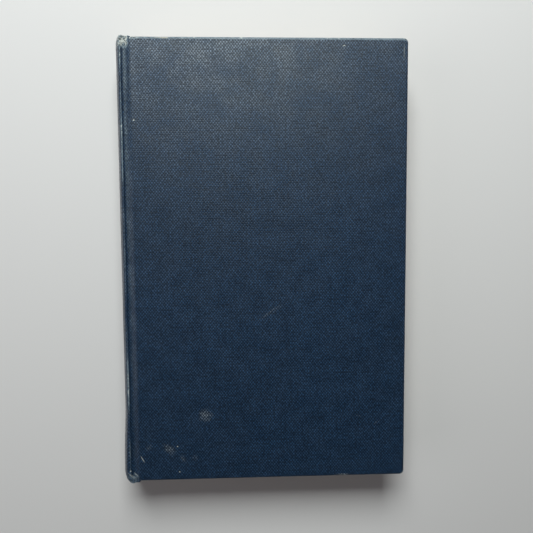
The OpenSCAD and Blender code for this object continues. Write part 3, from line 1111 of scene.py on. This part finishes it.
def jointWearAndLight(obj, side):
    # rubbed along the ridge, paler over the groove's slope from rubbing and from painted light
    # that grows towards the head, and frayed where the spine's cloth is folded in
    u, y, v = meshPoints(obj, side)
    along = wearAndLight["ridge"] + 0.15 * np.sin(y / 9.0 + 1.0) + 0.1 * np.sin(y / 3.1)
    if side > 0:
        along += 0.75 * bell(y, -62, 9) + 0.35 * bell(y, 62, 26) + 0.5 * ramp(y, 92, 102)
    ridge = bell(np.hypot(u - 0.15, v - 14.25), 0, 0.5)
    # the groove's slope is paler: rubbed cloth, with painted light that grows towards the head
    slope = ramp(u, 0.9, 1.5) * (1 - 0.25 * ramp(u, 2.4, 3.8)) * (v > 11.9)
    slope *= wearAndLight["slope"] + wearAndLight["slopeTowardsHead"] * y
    inJoint = 1 - ramp(u, 3.6, 5.0)
    apart = side * ramp(v, 0, 8)  # front and back are alike at the middle of the spine
    head = ramp(y, *wearAndLight["headCap"]) * inJoint * (wearAndLight["head"] + 0.11 * apart)
    tail = ramp(-y, *wearAndLight["tailCap"]) * inJoint * (wearAndLight["tail"] - 0.09 * apart)
    setWearAndLight(obj, np.maximum.reduce([ridge * along, slope, head, tail]))


coverWearAndHighlight(frontCloth, 1, [(141.5, -111.0, 1.7, 1.5), (141.2, 110.5, 1.8, 0.6),
                          (5.0, 110.5, 2.6, 0.5), (5.0, -110.5, 1.6, 0.3)])
coverWearAndHighlight(backCloth, -1, [(141.2, -110.5, 2.4, 0.9), (141.2, 110.5, 2.2, 0.8)])
for piece, side in zip(jointCloths, (1, -1)):
    jointWearAndLight(piece, side)
dress(frontCloth, clothMaterial("navy cloth, front cover", frontMarks))
dress(jointCloths[0], clothMaterial("navy cloth, front joint", jointMarks))
plainClothMaterial = clothMaterial("navy cloth", [])
for piece in (backCloth, jointCloths[1]):
    dress(piece, plainClothMaterial)
print("book: cloth finished")

paperLook = {
    "endpaper": (0.84, 0.77, 0.63),
    "toned": (0.66, 0.54, 0.37),
    "fox": (0.42, 0.25, 0.12),
    "clothBeneath": (0.68, 0.65, 0.57),
    "tonedReach": 0.012,
    "roughness": 0.86,
    "fibreDepth": 0.00004,
}


def nearEdge(tree, unrolled, endU, endY, reach):
    # 1 at the outer edges of a leaf, 0 when it is further in than the reach
    parts = separate(tree, unrolled)
    sideways = maths(tree, "SUBTRACT", endU, parts[0])
    endways = maths(tree, "SUBTRACT", endY, maths(tree, "ABSOLUTE", parts[1]))
    return ranged(tree, maths(tree, "MINIMUM", sideways, endways), 0.0, reach, 1.0, 0.0)


def leafRim(tree, unrolled, reach):
    return nearEdge(tree, unrolled, book["leafEdgeU"] * mm, book["halfLeaf"] * mm, reach)


def endpaperMaterial(name, specks, laps=False):
    material, tree, shader = newMaterial(name, paperLook["roughness"], 0.3)
    unrolled = unrolledPlace(tree)
    fibre = place(tree, paperFibre, {"Vector": unrolled, "Specks": specks})
    tone = plus(tree, fibre["Cloud"], 0.9, -0.28)
    tone = plus(tree, leafRim(tree, unrolled, paperLook["tonedReach"]), 0.34, tone)
    tone = put(tree, "ShaderNodeClamp", {0: tone}).outputs[0]
    colour = mixed(tree, tone, paperLook["endpaper"], paperLook["toned"])
    if laps:
        # the turned-in cloth shows faintly through the leaf that is pasted over it
        lapped = nearEdge(tree, unrolled, 0.1268, 0.0962, 0.0009)
        besideJoint = ranged(tree, separate(tree, unrolled)[0], 0.0288, 0.0297, 1.0, 0.0)
        lapped = times(tree, maths(tree, "MAXIMUM", lapped, besideJoint),
                       varied(tree, fibre["Cloud"], 0.16, 0.42))
        colour = mixed(tree, lapped, colour, paperLook["clothBeneath"])
    colour = mixed(tree, times(tree, fibre["Speck"], 0.55), colour, paperLook["fox"])
    colour = shaded(tree, colour, varied(tree, fibre["Height"], 0.955, 1.03))
    link(tree, shader, colour, varied(tree, fibre["Cloud"], 0.80, 0.92),
         relief(tree, fibre["Height"], paperLook["fibreDepth"], 0.8))
    return material


leafLook = {
    "page": (0.80, 0.72, 0.56),
    "edge": (0.70, 0.59, 0.41),
    "aged": (0.50, 0.37, 0.22),
    "dust": (0.25, 0.22, 0.18),
    "dustStart": 0.1065,
    "leafPitch": 0.000055,
    "rimReach": 0.0022,
    "lineDepth": 0.00005,
}


def leafMaterial(name):
    # cut edges: hair-fine leaves of slightly different tone, with painted shade where the leaf
    # lines are low, darker at the ends of the block
    material, tree, shader = newMaterial(name, 0.88, 0.25)
    spot, unrolled = objectPlace(tree), unrolledPlace(tree)
    leafLines = (26.0, 26.0, 0.35 / leafLook["leafPitch"])
    lines = noise(tree, stretched(tree, spot, leafLines), 1.0, 2.0, 0.7)
    bundles = noise(tree, stretched(tree, spot, (9.0, 9.0, 900.0)), 1.0, 2.0, 0.6)
    cloud = noise(tree, spot, 42.0, 3.0, 0.6)
    rim = leafRim(tree, unrolled, leafLook["rimReach"])
    colour = mixed(tree, rim, leafLook["page"], leafLook["edge"])
    age = times(tree, rim, ranged(tree, bundles, 0.3, 0.75, 0.0, 0.55))
    colour = mixed(tree, age, colour, leafLook["aged"])
    head = ranged(tree, separate(tree, spot)[1], leafLook["dustStart"], book["halfLeaf"] * mm)
    dusty = times(tree, head, varied(tree, cloud, 0.10, 0.42))
    colour = mixed(tree, dusty, colour, leafLook["dust"])
    # the leaf lines: the leaves' own tone, and painted shade where the lines are low
    lined = shaded(tree, colour, ranged(tree, lines, 0.25, 0.75, 0.70, 1.10))
    fibre = place(tree, paperFibre, {"Vector": unrolled, "Specks": 0.0})
    height = plus(tree, times(tree, lines, rim), 2.2, fibre["Height"])
    link(tree, shader, mixed(tree, rim, colour, lined), varied(tree, cloud, 0.82, 0.94),
         relief(tree, height, leafLook["lineDepth"], 0.8))
    return material


bandLook = {
    "blue": (0.035, 0.07, 0.16),
    "cream": (0.62, 0.56, 0.44),
    "threadsInStripe": 3.0,
    "threadDepth": 0.00006,
}


def bandMaterial(name):
    # stripes of dyed and plain thread, each thread with its own twist; the colour is darker
    # between the threads and where the twist is low, as painted shade
    material, tree, shader = newMaterial(name, 0.62, 0.35)
    parts = separate(tree, unrolledPlace(tree))
    stripe = maths(tree, "DIVIDE", maths(tree, "FLOOR", parts[0]), bandLook["threadsInStripe"])
    stripe = maths(tree, "MODULO", maths(tree, "FLOOR", stripe), 2.0)
    colour = mixed(tree, stripe, bandLook["cream"], bandLook["blue"])
    gap = maths(tree, "ABSOLUTE", maths(tree, "SINE", times(tree, parts[0], math.pi)))
    twist = maths(tree, "SINE", plus(tree, parts[1], 110.0, times(tree, parts[0], 9.0)))
    # painted shade: darker between the threads and where the twist is low
    tone = times(tree, ranged(tree, gap, 0.0, 0.6, 0.45, 1.05), plus(tree, twist, 0.10, 0.95))
    link(tree, shader, shaded(tree, colour, tone), ranged(tree, twist, -1.0, 1.0, 0.55, 0.72),
         relief(tree, plus(tree, twist, 0.3, gap), bandLook["threadDepth"], 0.9))
    return material


mullLook = {
    "thread": (0.62, 0.56, 0.43),
    "glue": (0.40, 0.30, 0.17),
    "pitch": 0.0012,
    "threadDepth": 0.00016,
}


def mullMaterial(name, findPlace):
    # open starched cloth with dried glue between its threads
    material, tree, shader = newMaterial(name, 0.80, 0.3)
    flat = findPlace(tree)
    weave = place(tree, plainWeave, {"Vector": flat, "Warp pitch": mullLook["pitch"],
                                     "Weft pitch": mullLook["pitch"] * 1.1, "Wander": 0.5})
    thread = ranged(tree, weave["Height"], 0.12, 0.42)
    glue = noise(tree, flat, 120.0, 3.0, 0.6)
    colour = mixed(tree, thread, mullLook["glue"], mullLook["thread"])
    colour = mixed(tree, ranged(tree, glue, 0.45, 0.7, 0.0, 0.5), colour, mullLook["glue"])
    link(tree, shader, colour, ranged(tree, glue, 0.4, 0.7, 0.84, 0.6),
         relief(tree, weave["Height"], mullLook["threadDepth"], 0.9))
    return material


pulpLook = {
    "boardPale": (0.47, 0.43, 0.36),
    "boardDark": (0.31, 0.28, 0.23),
    "liningPale": (0.52, 0.38, 0.24),
    "liningDark": (0.40, 0.27, 0.15),
    "specks": 1.6,
    "depth": 0.00008,
}


def pulpMaterial(name, pale, dark, grain, roughness):
    # board, card or wrapping paper of coarse pulp
    material, tree, shader = newMaterial(name, roughness, 0.25)
    spot = objectPlace(tree)
    fibre = place(tree, paperFibre, {"Vector": spot, "Specks": pulpLook["specks"]})
    layers = noise(tree, stretched(tree, spot, (40.0, 40.0, 2600.0)), 1.0, 2.0, 0.6)
    pulp = times(tree, maths(tree, "ADD", noise(tree, spot, grain, 4.0, 0.7), layers), 0.5)
    colour = mixed(tree, ranged(tree, pulp, 0.36, 0.64), pulpLook[pale], pulpLook[dark])
    colour = mixed(tree, times(tree, fibre["Speck"], 0.6), colour,
                   tuple(c * 0.4 for c in pulpLook[dark]))
    link(tree, shader, colour, varied(tree, fibre["Cloud"], roughness - 0.05, roughness + 0.05),
         relief(tree, plus(tree, fibre["Height"], 0.6, pulp), pulpLook["depth"], 0.8))
    return material


dress(leaves, leafMaterial("leaf edges and pages"))
flyleafPaper = endpaperMaterial("endpaper", 0.8)
pastedPaper = endpaperMaterial("endpaper pasted over the laps", 1.0, laps=True)
for piece in sheets:
    dress(piece, pastedPaper if "pasted" in piece.name else flyleafPaper)
bandThreads = bandMaterial("striped headband thread")
for piece in bands:
    dress(piece, bandThreads)
foldedMull = mullMaterial("mull on the folds", unrolledPlace)
for piece in mulls:
    dress(piece, foldedMull)
gluedMull = mullMaterial("mull in the covers", objectPlace)
for name in ("front_mull", "back_mull"):
    dress(nodes[name], gluedMull)
greyboard = pulpMaterial("greyboard", "boardPale", "boardDark", 420.0, 0.9)
for piece in (nodes["front_board"], nodes["back_board"], card):
    dress(piece, greyboard)
dress(nodes["spine_lining"], pulpMaterial("lining paper", "liningPale", "liningDark", 300.0, 0.82))
print("book: papers, thread, mull and boards finished")

view = {
    "lens": 36.0675,
    "turns": (4.154, 2.255, 0.594),
    "place": (-0.008809, 0.018117, 0.296211),
}


def makeCamera():
    camera = bpy.data.objects.new("camera", bpy.data.cameras.new("camera"))
    bpy.context.scene.collection.objects.link(camera)
    camera.data.lens = view["lens"]
    camera.data.sensor_width = 36
    camera.data.clip_start = 0.01
    turn = Euler([math.radians(a) for a in view["turns"]], "XYZ").to_matrix().transposed()
    camera.matrix_world = Matrix.Translation(view["place"]) @ turn.to_4x4()
    bpy.context.scene.camera = camera


stage = {"floorColour": (0.69, 0.64, 0.635), "floorHalf": 1.5, "floorRoughness": 0.75}


def makeFloor():
    half = stage["floorHalf"]
    corners = [(-half, -half, 0), (half, -half, 0), (half, half, 0), (-half, half, 0)]
    floor = makeObject("floor", corners, [(0, 1, 2, 3)])
    material, tree, shader = newMaterial("pale floor", stage["floorRoughness"])
    grain = put(tree, "ShaderNodeTexNoise", {"Scale": 9.0}).outputs["Fac"]
    tone = ranged(tree, grain, 0.0, 1.0, 0.97, 1.0, "LINEAR")
    colour = mixed(tree, 1.0, stage["floorColour"], tone, "MULTIPLY")
    tree.links.new(colour, shader.inputs["Base Color"])
    dress(floor, material)


lamps = {
    "window": {"size": (0.42, 0.34), "place": (-0.045, 0.53, 0.60), "aim": (0, 0.08, 0.02),
               "power": 7.6, "colour": (0.90, 1.0, 0.985)},
    "leftFill": {"size": (0.8, 1.2), "place": (-1.25, -0.1, 0.62), "aim": (0, -0.05, 0.0),
                 "power": 3.6, "colour": (0.95, 0.97, 1.0)},
    "rightFill": {"size": (0.8, 1.2), "place": (1.25, -0.1, 0.62), "aim": (0, -0.05, 0.0),
                  "power": 0.3, "colour": (0.95, 0.97, 1.0)},
}
room = {"colour": (0.93, 0.95, 1.0), "strength": 0.06}


def makeLamp(name, lamp):
    data = bpy.data.lights.new(name, "AREA")
    data.shape = "RECTANGLE"
    data.size, data.size_y = lamp["size"]
    data.energy = lamp["power"]
    data.color = lamp["colour"]
    obj = bpy.data.objects.new(name, data)
    bpy.context.scene.collection.objects.link(obj)
    obj.location = lamp["place"]
    towards = Vector(lamp["aim"]) - Vector(lamp["place"])
    obj.rotation_euler = towards.to_track_quat("-Z", "Y").to_euler()


def makeRoom():
    world = bpy.data.worlds.new("studio")
    bpy.context.scene.world = world
    world.use_nodes = True
    background = world.node_tree.nodes["Background"]
    background.inputs["Color"].default_value = (*room["colour"], 1)
    background.inputs["Strength"].default_value = room["strength"]


makeCamera()
makeFloor()
for name, lamp in lamps.items():
    makeLamp(name, lamp)
makeRoom()
bpy.context.scene.view_settings.view_transform = "Standard"
print("book: done")
